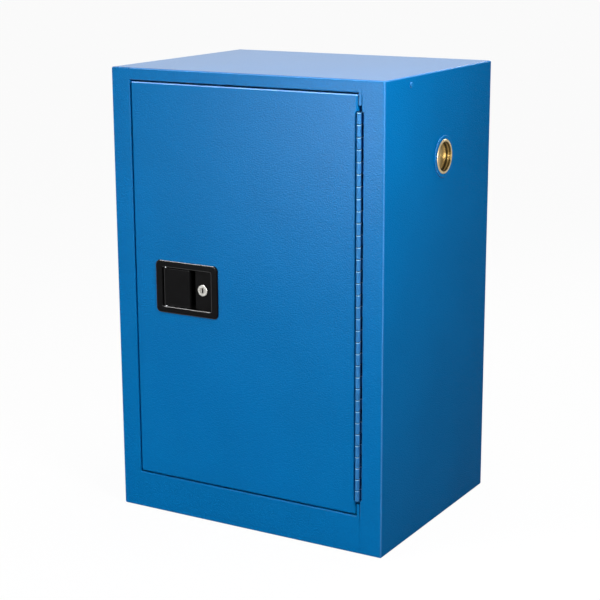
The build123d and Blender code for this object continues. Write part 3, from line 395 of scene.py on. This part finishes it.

# The hinge's rolled knuckles are painted paler than the body, a painted sheen for the light their round
# barrel catches.
# Each ends at a dark joint, drawn wider than the real gap, over a painted highlight on the upper edge of
# the knuckle below.
hinge_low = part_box("hinge_frame_leaf")[0].z
knuckle_pitch = 0.022
knuckle_gap = 0.0006
joint_width = 0.0014
joint_height = hinge_low - knuckle_gap / 2
knuckle_joints_and_highlights = (
    (srgb(150, 205, 240), joint_height - joint_width, knuckle_pitch, joint_width),
    (srgb(8, 52, 96), joint_height, knuckle_pitch, joint_width),
)
hinge_sheen_paint = powder_coat(
    "hinge_sheen_powder_coat", srgb(56, 128, 190), roughness=0.34, seams=knuckle_joints_and_highlights, fold_highlight=0.0
)
for name in ("hinge_frame_leaf", "hinge_door_leaf"):
    finish_node(name, hinge_sheen_paint)

# The hinge's pin is painted dark, a painted shade for the shadow of the knuckles round it
pin_shade_paint = powder_coat("pin_shade_powder_coat", srgb(4, 40, 74), roughness=0.4, fold_highlight=0.0)
finish_node("hinge_pin", pin_shade_paint)

# The inside is painted to a duller finish than the outside, and its folds carry the same painted highlight
inner_paint = powder_coat("inner_powder_coat", blue, roughness=0.5, gleam=0.2)
liner_nodes = ("liner_left", "liner_right", "liner_back", "liner_top")
for name in (*liner_nodes, "sump_pan", "door_stop_frame", "shelf"):
    finish_node(name, inner_paint)

# The folds below and to the left of the door get no painted fold highlight, so the gap beside them stays
# dark
even_paint = powder_coat("even_powder_coat", blue, outer_roughness, fold_highlight=0.0)
for name in ("sill_rail", "left_side_panel"):
    finish_node(name, even_paint)

# The door's upward-facing folds get a strong painted highlight, and its other folds get none
door_paint = powder_coat("door_powder_coat", blue, outer_roughness, fold_highlight=5.0, upward=True)
finish_node("door_outer_skin", door_paint)

# The lock's plug is duller than its collar, and its keyway gets painted shade just behind the face
shade_depth = 0.0003
for name, colour in (("lock_cylinder", srgb(112, 111, 108)), ("lock_plug", srgb(92, 91, 88))):
    finish_node(name, lock_face(name + "_plate", colour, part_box(name)[0].y, shade_depth))

# The ground screw's head is painted paler, a painted highlight, and its paint is glossier
screw_highlight_paint = powder_coat("screw_highlight_powder_coat", srgb(20, 116, 182), roughness=0.3)
finish_node("ground_screw", screw_highlight_paint)

# The latch spring shortens as the bolt draws back. A copy of its coil, with a mesh of its own, rides on
# the door in place of the rigid one, which is hidden
spring = add("latch_spring_coil", nodes["latch_spring"].data.copy())
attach(spring, "door")
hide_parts("latch_spring")
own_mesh(spring)

# Camera at the photograph's viewing angle

camera_place = (1.5312, -2.6416, 1.1626)
camera_right = Vector((0.864, 0.5036, -0.0041)).normalized()
camera_forward = Vector((-0.49, 0.8387, -0.2377)).normalized()
camera_up = camera_right.cross(camera_forward).normalized()
camera_right = camera_forward.cross(camera_up).normalized()
camera_turn = Matrix((camera_right, camera_up, -camera_forward)).transposed()
camera_data = bpy.data.cameras.new("camera")
camera_data.sensor_width = 36.0
camera_data.lens = 93.35
camera_data.clip_start = 0.05
camera_data.clip_end = 60.0
camera = add("camera", camera_data)
camera.matrix_world = Matrix.Translation(camera_place) @ camera_turn.to_4x4()
scene.camera = camera

# Studio: a pale floor, a white surround and soft lamps

def seen_rays(tree):
    """1 for rays from the camera, a reflection or through a clear piece, 0 for rays that light things."""
    path = node(tree, "ShaderNodeLightPath").outputs
    return largest(tree, path["Is Camera Ray"], path["Is Glossy Ray"], path["Is Transmission Ray"])


floor_reach = 30.0
floor_grey = 0.2
floor_glow = 0.955
floor_corners = [(-1, -1), (1, -1), (1, 1), (-1, 1)]
floor_points = [(x * floor_reach, y * floor_reach, 0) for x, y in floor_corners]
floor_mesh = bpy.data.meshes.new("floor")
floor_mesh.from_pydata(floor_points, [], [(0, 1, 2, 3)])
floor = add("floor", floor_mesh)
floor_material, floor_tree, floor_shader = new_material("pale_floor")
dress(floor_tree, floor_shader, Base_Color=opaque(shade(white, floor_grey)), Roughness=0.9)
shadow_catch = node(floor_tree, "ShaderNodeBsdfDiffuse", Color=opaque(white))
glow = node(floor_tree, "ShaderNodeEmission", Color=opaque(white), Strength=1.0)
seen_floor = blend(floor_tree, floor_glow, shadow_catch.outputs["BSDF"], glow.outputs["Emission"])
floor_surface = blend(floor_tree, seen_rays(floor_tree), floor_shader.outputs["BSDF"], seen_floor)
feed(floor_tree, floor_tree.nodes["Material Output"].inputs["Surface"], floor_surface)
floor_mesh.materials.append(floor_material)

ambient_strength = 0.04
world = bpy.data.worlds.new("studio")
scene.world = world
world.use_nodes = True
world_tree = world.node_tree
ambient = world_tree.nodes["Background"]
dress(world_tree, ambient, Color=opaque(white), Strength=ambient_strength)
surround = node(world_tree, "ShaderNodeBackground", Color=opaque(white), Strength=1.0)
world_surface = blend(
    world_tree, seen_rays(world_tree), ambient.outputs["Background"], surround.outputs["Background"]
)
feed(world_tree, world_tree.nodes["World Output"].inputs["Surface"], world_surface)


def softbox(name, location, target, size, power, diffuse=True, gleam=True):
    """A rectangular area lamp that faces a point: it lights surfaces, shows in their gloss, or both."""
    lamp_data = bpy.data.lights.new(name, "AREA")
    lamp_data.shape = "RECTANGLE"
    lamp_data.size, lamp_data.size_y = size
    lamp_data.energy = power
    lamp = add(name, lamp_data)
    lamp.location = location
    lamp.rotation_mode = "QUATERNION"
    lamp.rotation_quaternion = (Vector(target) - Vector(location)).to_track_quat("-Z", "Y")
    lamp.visible_camera = False
    lamp.visible_diffuse = diffuse
    lamp.visible_glossy = gleam


# Each lamp's location, the point it faces, its width and height, and its power in watts
softbox("key_softbox", (1.05, -0.75, 1.3), (0.1, -0.1, 0.5), (0.4, 0.4), 18.0, gleam=False)
softbox("low_softbox", (-1.3, -2.9, 0.5), (0.0, 0.0, 0.45), (0.8, 0.6), 34.0)
softbox("high_strip", (-1.7, -2.3, 2.5), (0.0, -0.2, 0.8), (1.3, 0.35), 36.0)
softbox("back_strip", (0.6, 2.2, 2.0), (0.1, 0.0, 0.9), (1.2, 0.3), 20.0)
softbox("top_softbox", (0.0, 0.25, 2.6), (0.0, 0.0, 0.6), (1.2, 1.2), 22.0)
softbox("haze_panel", (-0.92, -2.9, 0.6), (0.0, 0.0, 0.6), (0.5, 0.55), 170.0, diffuse=False)
softbox("brass_panel", (1.05, -0.7, 0.77), (0.3, 0.1, 0.72), (0.35, 0.18), 16.0, diffuse=False)
softbox("edge_panel", (-1.0, -0.9, 2.6), (0.0, -0.2, 0.85), (1.2, 1.2), 300.0, diffuse=False)
